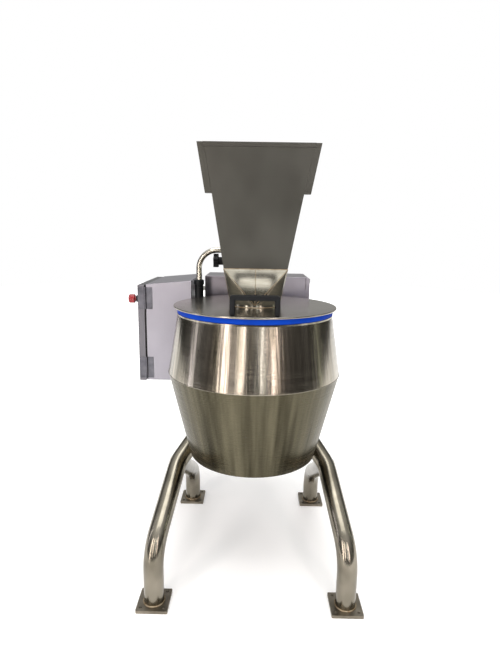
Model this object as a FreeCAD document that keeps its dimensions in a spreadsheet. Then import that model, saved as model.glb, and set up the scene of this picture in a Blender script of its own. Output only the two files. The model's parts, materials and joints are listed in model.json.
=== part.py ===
import FreeCAD, Part
import math
import os
import re
import Sketcher

os.makedirs("parts", exist_ok=True)

# Driving dimensions in millimetres. Places are measured from the drum's axis on the floor:
# x to the right, y to the back and z up. axis_x and axis_y move all of it to the model's origin.
SIZES = {
    "axis_x": 88.5, "axis_y": -132,
    # feet and legs
    "foot_side": 120, "foot_thick": 12, "foot_corner": 5, "foot_pitch": 86, "foot_hole_r": 5.5,
    "foot_y": 378, "front_x": 366, "rear_x": 314, "tube_r": 38.05, "tube_wall": 3,
    "front_knee_z": 222, "rear_knee_z": 168, "knee_r": 150,
    "shoulder_x": 316, "shoulder_y": -76, "shoulder_z": 434, "shoulder_r": 160,
    "leg_end_x": 255, "leg_end_y": 14, "leg_end_z": 506,
    # drum
    "rim_r": 270, "rim_z": 470, "belt_r": 358.6, "belt_z": 833, "top_r": 320, "top_z": 1078,
    "shell_wall": 4, "flange_wide": 30, "flange_thick": 6, "gasket_tall": 22.5, "gasket_wide": 16,
    # lid and hopper
    "seat_gap": 0.5, "lid_z": 1101, "lid_r": 334.5, "lid_thick": 7, "neck_r": 104, "neck_top_z": 1118, "sheet": 3,
    "seam_z": 1262, "seam_half": 123, "mouth_z": 1710, "mouth_half": 196.5, "mouth_shift": 5, "hem_tall": 15, "hem_thick": 3,
    "wing_low_z": 1538, "wing_wide": 25, "wing_deep": 20, "wing_sheet": 2.5,
    "handle_half": 80, "handle_y": -300, "handle_top_z": 1173, "handle_r": 9.75, "handle_bend_r": 24,
    # swing arm
    "post_tuck_x": 95.6, "post_tuck_y": 94.6, "bush_r": 20, "bush_low_z": 880, "bush_top_z": 1150, "arm_r": 12.5,
    "arm_wall": 2.5, "arm_z": 1321, "arm_bend_r": 85, "arm_low_z": 890, "arm_end_x": -60,
    "head_r": 23.5, "head_tall": 35, "ear_thick": 12, "ear_low_z": 905, "ear_high_z": 1032,
    "clamp_left_x": -148, "clamp_right_x": -75, "clamp_deep": 54, "clamp_low_z": 1248, "clamp_top_z": 1349,
    "clamp_slit": 3, "stub_side": 44, "stub_x": -105, "stub_z": 1292,
    "knob_drop": 36.5, "knob_r": 25, "knob_thick": 23, "knob_lobe_r": 8, "knob_lobes": 5,
    "knob_hub_r": 18, "knob_hub_long": 22, "knob_neck": 2, "knob_screw_r": 5, "knob_screw_in": 40,
    # mill
    "deck_z": 850, "deck_thick": 10, "deck_arm_wide": 60, "deck_ring_in": 225, "deck_ring_out": 255,
    "hub_r": 75, "house_r": 55, "house_flange": 12, "seat_r": 36, "bearing_tall": 25,
    "shaft_r": 20, "shaft_low_z": 640, "shoulder_out": 28, "run_gap": 0.05,
    "disc_r": 165, "disc_thick": 10, "disc_low_z": 900, "hammer_tall": 60, "hub_sleeve_r": 45,
    "pin_r": 8, "pin_circle": 140, "hammer_long": 80, "hammer_thick": 14, "hammer_gap": 0.5,
    "boss_r": 15, "thread_r": 16, "nut_r": 27, "nut_tall": 26,
    "screen_r": 232, "screen_wall": 3, "screen_top_z": 1004, "slot_wide": 10, "slot_margin": 20,
    "slots": 36, "cover_r": 255, "cover_thick": 6, "feed_r": 98, "feed_top_z": 1092,
    "stud_r": 5, "stud_circle": 244, "stud_nut_r": 9, "stud_nut_tall": 8,
    # drive
    "pulley_z": 652, "pulley_tall": 40, "rib_tall": 3, "driven_r": 80, "rib_r": 6, "drive_r": 60,
    "motor_back": 127, "belt_thick": 6, "belt_gap": 0.3, "duct_r": 97, "duct_low_z": 640, "duct_top_z": 703,
    "motor_r": 100, "motor_low_z": 715, "motor_top_z": 1040, "motor_flange_r": 119, "fan_cover_z": 1100,
    "motor_shaft_r": 14, "motor_bore": 90, "fin_count": 28, "fin_tall": 8, "fin_thick": 3,
    # motor housing
    "house_left": -250, "house_right": 248, "house_clear": 41.4, "house_deep": 250, "house_low_z": 560,
    "house_top_z": 1191, "side_cover": 21, "side_cover_drop": 8, "louvres": 7, "louvre_pitch": 34,
    "mount_x": 110, "mount_wide": 40, "mount_low_z": 775, "mount_tall": 100,
    # control box
    "box_tuck": 61.6, "box_wide": 212, "box_front": 240, "box_back": 700, "box_low_z": 700,
    "box_left_top": 1160, "box_right_top": 1180, "box_wall": 2.5, "lip": 20, "bracket_tall": 60,
    "bracket_y": 430, "bracket_deep": 180, "bracket_low": 770, "bracket_high": 1060,
    "door_reach": 38.7, "door_gap": 7, "door_over": 2, "door_low_z": 698, "door_top_z": 1157,
    "seal_wide": 14, "seal_gap": 0.3,
    "pivot_out": 2.5, "pivot_ahead": 5, "knuckle_r": 5, "hinge_pin_r": 2.5, "leaf_thick": 3, "leaf_tall": 102,
    "leaf_wide": 29.5, "hinge_low_z": 712, "hinge_high_z": 1045, "knuckle_gap": 0.3,
    "latch_y": 655, "latch_z": 935, "latch_r": 14, "latch_head": 8, "latch_stem_r": 8, "cam_long": 22,
    "stop_y": 300, "stop_z": 1085, "stop_r": 21, "stop_collar_r": 16, "collar_long": 20.3,
    "stop_reach": 55.3, "stop_head": 28, "stop_stem_r": 11, "stop_stem_long": 26,
    "gland_in": 109, "gland_y": 600, "gland_bore_r": 7, "gland_r": 16, "gland_thread_r": 10,
}

# Places that follow from the sizes: what hangs beside the drum moves out with its belt.
PLACES = {
    "box_right": "box_tuck - belt_r", "box_left": "box_right - box_wide",
    "door_out": "box_left - door_reach", "door_in": "box_left - door_gap",
    "pivot_x": "box_left - pivot_out", "pivot_y": "box_front - pivot_ahead", "leaf_right": "box_left + leaf_wide",
    "stop_collar_x": "door_out - collar_long", "stop_out": "door_out - stop_reach",
    "gland_x": "box_left + gland_in",
    "house_front": "belt_r + house_clear", "house_back": "house_front + house_deep",
    "motor_y": "house_front + motor_back",
    "post_x": "post_tuck_x - belt_r", "post_y": "belt_r - post_tuck_y",
    "knob_z": "arm_z - arm_r - knob_drop",
}

DOWN_THE_X = FreeCAD.Rotation(FreeCAD.Vector(0, 1, 0), 90)
WEDGE_UP = FreeCAD.Rotation(FreeCAD.Vector(1, 0, 0), 90)

doc = FreeCAD.newDocument("hammer_mill")
sheet = doc.addObject("Spreadsheet::Sheet", "Sizes")
sheet.Label = "sizes"
for row, (name, size) in enumerate(SIZES.items(), start=1):
    sheet.set("A%d" % row, name)
    sheet.set("B%d" % row, str(size))
    sheet.setAlias("B%d" % row, name)
doc.recompute()

pieces = {}


# --- small helpers -------------------------------------------------------------------------------

def ref(formula):
    """A formula of size and place names, written as an expression on the sheet."""
    def written(word):
        if word[0] in PLACES:
            return "(%s)" % ref(PLACES[word[0]])
        return "sizes." + word[0] if word[0] in SIZES else word[0]
    return re.sub(r"[a-z_]+", written, str(formula))


def value(formula):
    """The number that a formula of size names gives now."""
    return float(sheet.evalExpression(ref(formula)))


def bind(thing, **formulas):
    for name, formula in formulas.items():
        thing.setExpression(name, ref(formula))
    return thing


def place(thing, across="0", back="0", up="0", turn=None):
    """Puts a thing at a place measured from the drum's axis."""
    if turn:
        thing.Placement = FreeCAD.Placement(FreeCAD.Vector(), turn)
    thing.setExpression("Placement.Base.x", ref("axis_x + (%s)" % across))
    thing.setExpression("Placement.Base.y", ref("axis_y + (%s)" % back))
    thing.setExpression("Placement.Base.z", ref(up))
    return thing


def add(kind):
    return doc.addObject(kind, kind.split("::")[1])


def box(x0, x1, y0, y1, z0, z1):
    """A box between two corners."""
    solid = bind(add("Part::Box"), Length="(%s) - (%s)" % (x1, x0), Width="(%s) - (%s)" % (y1, y0),
                 Height="(%s) - (%s)" % (z1, z0))
    return place(solid, x0, y0, z0)


def rod(radius, z0, z1, across="0", back="0"):
    """An upright cylinder."""
    solid = bind(add("Part::Cylinder"), Radius=radius, Height="(%s) - (%s)" % (z1, z0))
    return place(solid, across, back, z0)


def rod_x(radius, x0, x1, back, up):
    """A cylinder that lies along x."""
    solid = bind(add("Part::Cylinder"), Radius=radius, Height="(%s) - (%s)" % (x1, x0))
    return place(solid, x0, back, up, DOWN_THE_X)


def cone(low_r, high_r, z0, z1):
    solid = bind(add("Part::Cone"), Radius1=low_r, Radius2=high_r, Height="(%s) - (%s)" % (z1, z0))
    return place(solid, "0", "0", z0)


def wedge(low, high, z0, z1):
    """A straight-sided block whose footprint (x0, x1, y0, y1) changes from low to high."""
    solid = add("Part::Wedge")
    solid.Xmin, solid.Ymin, solid.Zmin = 0, 0, 0
    solid.Xmax, solid.Ymax, solid.Zmax = 1000, 1000, 1000
    bind(solid, Xmin=low[0], Xmax=low[1], Zmin="0 - (%s)" % low[3], Zmax="0 - (%s)" % low[2],
         X2min=high[0], X2max=high[1], Z2min="0 - (%s)" % high[3], Z2max="0 - (%s)" % high[2],
         Ymin="0", Ymax="(%s) - (%s)" % (z1, z0))
    return place(solid, "0", "0", z0, WEDGE_UP)


def frustum(low_half, high_half, z0, z1, shift="0"):
    """A square block that grows upward; its top may stand off to one side."""
    low = ("0 - (%s)" % low_half, low_half, "0 - (%s)" % low_half, low_half)
    high = ("%s - (%s)" % (shift, high_half), "%s + (%s)" % (shift, high_half), "0 - (%s)" % high_half, high_half)
    return wedge(low, high, z0, z1)


def cut(base, *tools):
    for tool in tools:
        result = add("Part::Cut")
        result.Base = base
        result.Tool = tool
        base = result
    return base


def fuse(*solids):
    result = add("Part::MultiFuse")
    result.Shapes = list(solids)
    return result


def common(base, tool):
    result = add("Part::Common")
    result.Base = base
    result.Tool = tool
    return result


def group(*solids):
    """Separate solids that share one node."""
    result = add("Part::Compound")
    result.Links = list(solids)
    return result


def made(shape):
    """A piece whose shape is made by Part's own functions about the drum's axis."""
    thing = add("Part::Feature")
    thing.Shape = shape
    return place(thing)


def piece(name, solid):
    solid.Label = name
    pieces[name] = solid
    return solid


def origin_plane(body, role):
    return next(plane for plane in body.Origin.OriginFeatures if plane.Role == role)


def outline(body, role, corners):
    """A closed sketch of straight lines whose corners are bound to the sheet."""
    sketch = body.newObject("Sketcher::SketchObject", "Outline")
    sketch.AttachmentSupport = [(origin_plane(body, role), "")]
    sketch.MapMode = "FlatFace"
    points = [FreeCAD.Vector(value(across), value(up), 0) for across, up in corners]
    for start, end in zip(points, points[1:] + points[:1]):
        sketch.addGeometry(Part.LineSegment(start, end), False)
    for index, (across, up) in enumerate(corners):
        before = (index - 1) % len(corners)
        sketch.addConstraint(Sketcher.Constraint("Coincident", index, 1, before, 2))
        for kind, formula in (("DistanceX", across), ("DistanceY", up)):
            rule = Sketcher.Constraint(kind, -1, 1, index, 1, value(formula))
            number = sketch.addConstraint(rule)
            sketch.setExpression("Constraints[%d]" % number, ref(formula))
    return sketch


def turned(corners, across="0", back="0"):
    """A body turned about an upright axis, from its outline of radius and height."""
    body = add("PartDesign::Body")
    sketch = outline(body, "XZ_Plane", corners)
    turning = body.newObject("PartDesign::Revolution", "Revolution")
    turning.Profile = sketch
    turning.ReferenceAxis = (sketch, ["V_Axis"])
    turning.Angle = 360
    sketch.Visibility = False
    return place(body, across, back)


def drawn(corners, back, deep):
    """A body with the same front outline, x and z, all the way from its front to its back."""
    body = add("PartDesign::Body")
    sketch = outline(body, "XZ_Plane", corners)
    pad = body.newObject("PartDesign::Pad", "Pad")
    pad.Profile = sketch
    pad.Reversed = True
    bind(pad, Length=deep)
    return place(body, "0", back)


def plate(corners, z0, thick):
    """A flat body from its outline seen from above."""
    body = add("PartDesign::Body")
    sketch = outline(body, "XY_Plane", corners)
    pad = body.newObject("PartDesign::Pad", "Pad")
    pad.Profile = sketch
    bind(pad, Length=thick)
    return place(body, "0", "0", z0)


def bent_bar(points, bend_radii, radius):
    """A round bar along straight runs joined by tangent bends."""
    corners = [FreeCAD.Vector(*(value(part) for part in point)) for point in points]
    edges = []
    start = corners[0]
    for before, corner, after, bend in zip(corners, corners[1:], corners[2:], bend_radii):
        to_before = (before - corner).normalize()
        to_after = (after - corner).normalize()
        half = to_before.getAngle(to_after) / 2
        reach = value(bend) / math.tan(half)
        first = corner + to_before * reach
        last = corner + to_after * reach
        middle_way = (to_before + to_after).normalize()
        middle = corner + middle_way * (value(bend) / math.sin(half) - value(bend))
        edges.append(Part.LineSegment(start, first).toShape())
        edges.append(Part.Arc(first, middle, last).toShape())
        start = last
    edges.append(Part.LineSegment(start, corners[-1]).toShape())
    path = Part.Wire(edges)
    circle = Part.Circle(corners[0], (corners[1] - corners[0]).normalize(), value(radius)).toShape()
    return path.makePipeShell([Part.Wire(circle)], True, False)


def lower_r(height):
    """The outside radius of the drum's lower cone at a height."""
    return "(rim_r + (belt_r - rim_r) * ((%s) - rim_z) / (belt_z - rim_z))" % height


def upper_r(height):
    """The outside radius of the drum's upper cone at a height."""
    return "(belt_r - (belt_r - top_r) * ((%s) - belt_z) / (top_z - flange_thick - belt_z))" % height


def hopper_half(height):
    """Half the outside width of the hopper at a height."""
    return "(seam_half + (mouth_half - seam_half) * ((%s) - seam_z) / (mouth_z - seam_z))" % height


def lower_cone():
    return cone("rim_r", "belt_r", "rim_z", "belt_z")


def upper_cone():
    return cone("belt_r", "top_r", "belt_z", "top_z - flange_thick")


# --- feet and legs -------------------------------------------------------------------------------

def foot_plate(across, back):
    """A square plate with rounded corners and four bolt holes."""
    body = add("PartDesign::Body")
    half = "foot_side / 2"
    low = "0 - foot_side / 2"
    sketch = outline(body, "XY_Plane", [(low, low), (half, low), (half, half), (low, half)])
    pad = body.newObject("PartDesign::Pad", "Pad")
    pad.Profile = sketch
    bind(pad, Length="foot_thick")
    doc.recompute()
    upright = []
    for number, edge in enumerate(pad.Shape.Edges, start=1):
        if abs(edge.tangentAt(edge.FirstParameter).z) > 0.9:
            upright.append("Edge%d" % number)
    rounding = body.newObject("PartDesign::Fillet", "Fillet")
    rounding.Base = (pad, upright)
    bind(rounding, Radius="foot_corner")
    place(body, across, back)
    holes = []
    for side in ("+", "-"):
        for end in ("+", "-"):
            holes.append(rod("foot_hole_r", "0 - 1", "foot_thick + 1", "%s %s foot_pitch / 2" % (across, side),
                             "%s %s foot_pitch / 2" % (back, end)))
    return cut(body, *holes)


def front_leg(side, radius):
    """The outside, or the bore, of a front leg; side is -1 on the left."""
    points = [("%d * front_x" % side, "0 - foot_y", "foot_thick"),
              ("%d * front_x" % side, "0 - foot_y", "front_knee_z"),
              ("%d * shoulder_x" % side, "shoulder_y", "shoulder_z"),
              ("%d * leg_end_x" % side, "leg_end_y", "leg_end_z")]
    return made(bent_bar(points, ["knee_r", "shoulder_r"], radius))


def rear_leg(side, radius):
    points = [("%d * rear_x" % side, "foot_y", "foot_thick"),
              ("%d * rear_x" % side, "foot_y", "rear_knee_z"),
              ("%d * shoulder_x" % side, "shoulder_y", "shoulder_z")]
    return made(bent_bar(points, ["knee_r"], radius))


def legs():
    bore = "tube_r - tube_wall"
    for side, word in ((-1, "left"), (1, "right")):
        front = front_leg(side, "tube_r")
        piece("leg_front_" + word, cut(front, front_leg(side, bore), lower_cone()))
        piece("leg_rear_" + word, cut(rear_leg(side, "tube_r"), rear_leg(side, bore), front, lower_cone()))
    feet = []
    for side in ("0 -", "0 +"):
        feet.append(foot_plate(side + " front_x", "0 - foot_y"))
        feet.append(foot_plate(side + " rear_x", "foot_y"))
    piece("foot_plates", group(*feet))


# --- drum ----------------------------------------------------------------------------------------

def duct_block(radius, z0, z1, back):
    """The round-nosed block that the belt duct is made of."""
    return fuse(rod(radius, z0, z1), box("0 - (%s)" % radius, radius, "0", back, z0, z1))


def drum():
    lower = turned([("rim_r", "rim_z"), ("belt_r", "belt_z"), ("belt_r - shell_wall", "belt_z"),
                    ("rim_r - shell_wall", "rim_z")])
    window = duct_block("duct_r", "duct_low_z - sheet", "duct_top_z", "house_front")
    piece("drum_lower_shell", cut(lower, window))
    rim_top = "top_z - flange_thick"
    piece("drum_upper_shell", turned([("belt_r", "belt_z"), ("top_r", rim_top),
                                      ("top_r - shell_wall", rim_top), ("belt_r - shell_wall", "belt_z")]))
    piece("drum_top_flange", turned([("top_r - flange_wide", rim_top), ("top_r", rim_top),
                                     ("top_r", "top_z"), ("top_r - flange_wide", "top_z")]))
    soft_top = "top_z + gasket_tall"
    piece("lid_gasket", turned([("top_r - gasket_wide", "top_z"), ("top_r", "top_z"),
                                ("top_r", soft_top), ("top_r - gasket_wide", soft_top)]))


# --- mill ----------------------------------------------------------------------------------------

def spider():
    """The deck that carries the mill: a ring and a hub on four arms welded to the drum."""
    deck_top = "deck_z + deck_thick"
    half = "deck_arm_wide / 2"
    low = "0 - deck_arm_wide / 2"
    arms = fuse(box("0 - belt_r", "belt_r", low, half, "deck_z", deck_top),
                box(low, half, "0 - belt_r", "belt_r", "deck_z", deck_top))
    reach = cone(upper_r("deck_z") + " - shell_wall", upper_r(deck_top) + " - shell_wall", "deck_z", deck_top)
    ring = cut(rod("deck_ring_out", "deck_z", deck_top), rod("deck_ring_in", "deck_z - 1", deck_top + " + 1"))
    hub = rod("hub_r", "deck_z", deck_top)
    bore = rod("shaft_r + 4", "deck_z - 1", deck_top + " + 1")
    piece("mill_spider", cut(fuse(common(arms, reach), ring, hub), bore))


def bearings():
    flange_low = "deck_z - house_flange"
    piece("bearing_housing", turned([("seat_r", "duct_top_z"), ("house_r", "duct_top_z"),
                                     ("house_r", flange_low), ("hub_r", flange_low), ("hub_r", "deck_z"),
                                     ("seat_r", "deck_z")]))
    rings = []
    for low in ("duct_top_z + bearing_tall / 2", "deck_z - bearing_tall * 3 / 2"):
        high = low + " + bearing_tall"
        rings.append(turned([("shaft_r + run_gap", low), ("seat_r", low), ("seat_r", high),
                             ("shaft_r + run_gap", high)]))
    piece("shaft_bearings", group(*rings))


def rotor():
    """The shaft with its two discs, the sleeve between them and the four hammer pins."""
    stack_top = "disc_low_z + 2 * disc_thick + hammer_tall"
    step = "deck_z + deck_thick + 6"
    piece("rotor_shaft", turned([("0", "shaft_low_z"), ("shaft_r", "shaft_low_z"), ("shaft_r", step),
                                 ("shoulder_out", step), ("shoulder_out", "disc_low_z"),
                                 ("shaft_r", "disc_low_z"), ("shaft_r", stack_top), ("thread_r", stack_top),
                                 ("thread_r", stack_top + " + nut_tall - 6"),
                                 ("0", stack_top + " + nut_tall - 6")]))
    pins = [rod("pin_r", "disc_low_z", stack_top, *pin_place(number)) for number in range(4)]
    for name, low in (("rotor_disc_lower", "disc_low_z"),
                      ("rotor_disc_upper", "disc_low_z + disc_thick + hammer_tall")):
        disc = turned([("shaft_r", low), ("disc_r", low), ("disc_r", low + " + disc_thick"),
                       ("shaft_r", low + " + disc_thick")])
        piece(name, cut(disc, *pins))
    piece("hammer_pins", group(*pins))
    sleeve = "disc_low_z + disc_thick"
    piece("rotor_sleeve", turned([("shaft_r", sleeve), ("hub_sleeve_r", sleeve),
                                  ("hub_sleeve_r", sleeve + " + hammer_tall"),
                                  ("shaft_r", sleeve + " + hammer_tall")]))
    piece("rotor_cap_nut", turned([("thread_r", stack_top), ("nut_r + 8", stack_top),
                                   ("nut_r + 8", stack_top + " + 3"), ("nut_r", stack_top + " + 3"),
                                   ("nut_r", stack_top + " + nut_tall - 8"),
                                   ("nut_r - 8", stack_top + " + nut_tall"), ("0", stack_top + " + nut_tall"),
                                   ("0", stack_top + " + nut_tall - 6"),
                                   ("thread_r", stack_top + " + nut_tall - 6")]))


def pin_place(number):
    """Where a hammer pin stands, a quarter turn from the next."""
    angle = 45 + 90 * number
    return ("pin_circle * cos(%d deg)" % angle, "pin_circle * sin(%d deg)" % angle)


def hammers():
    """Four flat beaters, each free on its own pin."""
    low = "disc_low_z + disc_thick + hammer_gap"
    high = "disc_low_z + disc_thick + hammer_tall - hammer_gap"
    for number in range(4):
        beater = box("0", "pin_circle + hammer_long", "0 - hammer_thick / 2", "hammer_thick / 2", low, high)
        beater = cut(beater, rod("pin_circle", "0", high + " + 1"))
        blank = fuse(beater, rod("boss_r", low, high, "pin_circle"))
        bored = cut(blank, rod("pin_r + run_gap", "disc_low_z", high + " + 1", "pin_circle"))
        arm = add("Part::Feature")
        doc.recompute()
        arm.Shape = bored.Shape.copy()
        middle = FreeCAD.Vector(value("axis_x"), value("axis_y"), 0)
        turn = FreeCAD.Rotation(FreeCAD.Vector(0, 0, 1), 45 + 90 * number)
        arm.Placement = FreeCAD.Placement(FreeCAD.Vector(), turn, middle)
        piece("hammer_%d" % (number + 1), arm)


def screen():
    """The slotted ring round the hammers."""
    foot = "deck_z + deck_thick"
    body = turned([("screen_r", foot), ("screen_r + screen_wall", foot),
                   ("screen_r + screen_wall", "screen_top_z"), ("screen_r", "screen_top_z")])
    sketch = outline(body, "YZ_Plane", [("0 - slot_wide / 2", foot + " + slot_margin"),
                                        ("slot_wide / 2", foot + " + slot_margin"),
                                        ("slot_wide / 2", "screen_top_z - slot_margin"),
                                        ("0 - slot_wide / 2", "screen_top_z - slot_margin")])
    slot = body.newObject("PartDesign::Pocket", "Slot")
    slot.Profile = sketch
    slot.Type = "ThroughAll"
    slot.Reversed = True
    doc.recompute()
    ring = body.newObject("PartDesign::PolarPattern", "Slots")
    ring.Originals = [slot]
    ring.Axis = (sketch, ["V_Axis"])
    ring.Angle = 360
    bind(ring, Occurrences="slots")
    body.Tip = ring
    piece("screen_ring", body)


def cover():
    """The plate over the screen, with the tube that feeds the rotor, and its four studs."""
    plate_top = "screen_top_z + cover_thick"
    lid = turned([("feed_r", "screen_top_z"), ("cover_r", "screen_top_z"), ("cover_r", plate_top),
                  ("feed_r + sheet", plate_top), ("feed_r + sheet", "feed_top_z"), ("feed_r", "feed_top_z")])
    studs = []
    for number in range(4):
        angle = 45 + 90 * number
        at = ("stud_circle * cos(%d deg)" % angle, "stud_circle * sin(%d deg)" % angle)
        stem = rod("stud_r", "deck_z + deck_thick", plate_top + " + stud_nut_tall + 4", *at)
        nut = bind(add("Part::Prism"), Circumradius="stud_nut_r", Height="stud_nut_tall")
        place(nut, at[0], at[1], plate_top)
        studs.append(fuse(stem, nut))
    piece("mill_cover", cut(lid, *studs))
    piece("cover_studs", group(*studs))


# --- drive ---------------------------------------------------------------------------------------

def pulley(radius, bore, back):
    """A flat-belt pulley with a rib at each end."""
    top = "pulley_z + pulley_tall"
    rib = "(%s) + rib_r" % radius
    return turned([(bore, "pulley_z"), (rib, "pulley_z"), (rib, "pulley_z + rib_tall"),
                   (radius, "pulley_z + rib_tall"), (radius, top + " - rib_tall"), (rib, top + " - rib_tall"),
                   (rib, top), (bore, top)], "0", back)


def belt_face(first_r, second_r, distance):
    """The flat loop round two circles: two arcs and the two lines that touch both."""
    lean = math.asin((first_r - second_r) / distance)
    across, along = math.cos(lean), math.sin(lean)
    right_low = FreeCAD.Vector(first_r * across, first_r * along, 0)
    right_high = FreeCAD.Vector(second_r * across, distance + second_r * along, 0)
    left_low = FreeCAD.Vector(-right_low.x, right_low.y, 0)
    left_high = FreeCAD.Vector(-right_high.x, right_high.y, 0)
    far = FreeCAD.Vector(0, distance + second_r, 0)
    near = FreeCAD.Vector(0, -first_r, 0)
    edges = [Part.LineSegment(right_low, right_high), Part.Arc(right_high, far, left_high),
             Part.LineSegment(left_high, left_low), Part.Arc(left_low, near, right_low)]
    return Part.Face(Part.Wire([edge.toShape() for edge in edges]))


def belt():
    first = value("driven_r + belt_gap")
    second = value("drive_r + belt_gap")
    thick = value("belt_thick - 2 * belt_gap")
    distance = value("motor_y")
    loop = belt_face(first + thick, second + thick, distance).cut(belt_face(first, second, distance))
    low = value("pulley_z + rib_tall + 2 * belt_gap")
    tall = value("pulley_tall - 2 * rib_tall - 4 * belt_gap")
    loop.translate(FreeCAD.Vector(0, 0, low))
    piece("drive_belt", made(loop.extrude(FreeCAD.Vector(0, 0, tall))))


def motor():
    foot = "motor_low_z"
    flange_top = foot + " + 12"
    body = turned([("motor_shaft_r + run_gap", foot), ("motor_flange_r", foot),
                   ("motor_flange_r", flange_top), ("motor_r", flange_top), ("motor_r", "motor_top_z"),
                   ("motor_r + fin_tall", "motor_top_z"), ("motor_r + fin_tall", "fan_cover_z"),
                   ("0", "fan_cover_z"), ("0", foot + " + motor_bore"),
                   ("motor_shaft_r + run_gap", foot + " + motor_bore")], "0", "motor_y")
    fin = box("motor_r - 2", "motor_r + fin_tall", "motor_y - fin_thick / 2", "motor_y + fin_thick / 2",
              flange_top, "motor_top_z")
    doc.recompute()
    middle = FreeCAD.Vector(value("axis_x"), value("axis_y + motor_y"), 0)
    fins = []
    for number in range(int(value("fin_count"))):
        turn = FreeCAD.Rotation(FreeCAD.Vector(0, 0, 1), 360 * number / value("fin_count"))
        copy = add("Part::Feature")
        copy.Shape = fin.Shape.copy()
        copy.Placement = FreeCAD.Placement(FreeCAD.Vector(), turn, middle) * copy.Placement
        fins.append(copy)
    piece("motor_body", fuse(body, *fins))
    shaft = rod("motor_shaft_r", "pulley_z - 6", foot + " + motor_bore - 1", "0", "motor_y")
    piece("motor_shaft", shaft)
    piece("motor_pulley", pulley("drive_r", "motor_shaft_r", "motor_y"))
    shelf = box("house_left + sheet", "house_right", "house_front + sheet", "house_back",
                "motor_low_z - 10", "motor_low_z")
    piece("motor_plate", cut(shelf, rod("motor_shaft_r * 3", "0", "motor_low_z + 1", "0", "motor_y")))


def drive():
    piece("driven_pulley", pulley("driven_r", "shaft_r", "0"))
    belt()
    motor()
    inner = "duct_r - sheet"
    duct = cut(duct_block("duct_r", "duct_low_z", "duct_top_z", "house_front"),
               duct_block(inner, "duct_low_z - 1", "duct_top_z - sheet", "house_front + 1"),
               rod("shaft_r + 4", "duct_top_z - sheet - 1", "duct_top_z + 1"))
    piece("belt_duct", duct)
    piece("belt_duct_cover", duct_block("duct_r", "duct_low_z - sheet", "duct_low_z", "house_front"))


# --- motor housing -------------------------------------------------------------------------------

def housing():
    left, right = "house_left", "house_right"
    front, back = "house_front", "house_back"
    low, top = "house_low_z", "house_top_z"
    shell = box(left, right, front, back, low, top)
    room = box(left + " + sheet", right + " + 1", front + " + sheet", back + " + 1",
               low + " + sheet", top + " - sheet")
    window = box("0 - duct_r + sheet", "duct_r - sheet", front + " - 1", front + " + sheet + 1",
                 "duct_low_z", "duct_top_z - sheet")
    piece("housing_shell", cut(shell, room, window))
    cover_top = top + " - side_cover_drop"
    flap = drawn([(right, low), (right + " + side_cover", low), (right + " + side_cover", cover_top),
                  (right + " + side_cover / 2", top), (right, top)], front, "house_back - house_front")
    hollow = box(right + " - 1", right + " + side_cover - sheet", front + " + sheet", back + " - sheet",
                 low + " + sheet", cover_top + " - sheet")
    piece("housing_side_cover", cut(flap, hollow))
    panel = box(left, right, back, back + " + sheet", low, top)
    slots = []
    for number in range(int(value("louvres"))):
        start = "%s - 110 - %d * louvre_pitch" % (top, number)
        slots.append(box(left + " + 90", right + " - 90", back + " - 1", back + " + sheet + 1",
                         start, start + " + 10"))
    piece("housing_back_cover", cut(panel, *slots))
    mounts = []
    for side in ("0 - mount_x", "mount_x"):
        block = box(side + " - mount_wide / 2", side + " + mount_wide / 2", "belt_r * 0.85", front,
                    "mount_low_z", "mount_low_z + mount_tall")
        mounts.append(cut(block, lower_cone(), upper_cone()))
    piece("housing_mounts", group(*mounts))


# --- control box ---------------------------------------------------------------------------------

def control_box():
    left, right = "box_left", "box_right"
    low = "box_low_z"
    deep = "box_back - box_front"
    shell = drawn([(left, low), (right, low), (right, "box_right_top"), (left, "box_left_top")],
                  "box_front", deep)
    room = drawn([(left + " + box_wall", low + " + box_wall"), (right + " - box_wall", low + " + box_wall"),
                  (right + " - box_wall", "box_right_top - box_wall"),
                  (left + " + box_wall", "box_left_top - box_wall")], "box_front + box_wall",
                 deep + " - 2 * box_wall")
    mouth = box(left + " - 1", left + " + box_wall + 1", "box_front + lip", "box_back - lip",
                low + " + lip", "box_left_top - lip")
    hole = rod("gland_thread_r", low + " - 1", low + " + box_wall + 1", "gland_x", "gland_y")
    piece("control_box", cut(shell, room, mouth, hole))
    brackets = []
    for start in ("bracket_low", "bracket_high"):
        block = box(right, "house_left", "bracket_y", "bracket_y + bracket_deep", start,
                    start + " + bracket_tall")
        bore = box(right + " + sheet", "house_left - sheet", "bracket_y - 1",
                   "bracket_y + bracket_deep + 1", start + " + sheet", start + " + bracket_tall - sheet")
        brackets.append(cut(block, bore))
    piece("box_brackets", group(*brackets))
    inside = right + " - box_wall"
    piece("control_panel_plate", box(inside + " - sheet", inside, "box_front + 30", "box_back - 30",
                                     low + " + 45", "box_left_top - 40"))
    face = inside + " - sheet"
    drive_unit = box(face + " - 120", face, "box_front + 60", "box_front + 190", low + " + 140", low + " + 370")
    contactor = box(face + " - 80", face, "box_front + 230", "box_front + 290", low + " + 240", low + " + 330")
    breaker = box(face + " - 70", face, "box_front + 310", "box_front + 380", low + " + 240", low + " + 330")
    terminals = box(face + " - 45", face, "box_front + 220", "box_front + 400", low + " + 90", low + " + 145")
    piece("control_devices", group(drive_unit, contactor, breaker, terminals))
    piece("cable_gland", turned([("gland_bore_r", low + " - 28"), ("gland_r - 3", low + " - 28"),
                                 ("gland_r", low + " - 20"), ("gland_r", low), ("gland_thread_r", low),
                                 ("gland_thread_r", low + " + box_wall"),
                                 ("gland_r - 1", low + " + box_wall"),
                                 ("gland_r - 1", low + " + box_wall + 6"),
                                 ("gland_bore_r", low + " + box_wall + 6")], "gland_x", "gland_y"))


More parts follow.
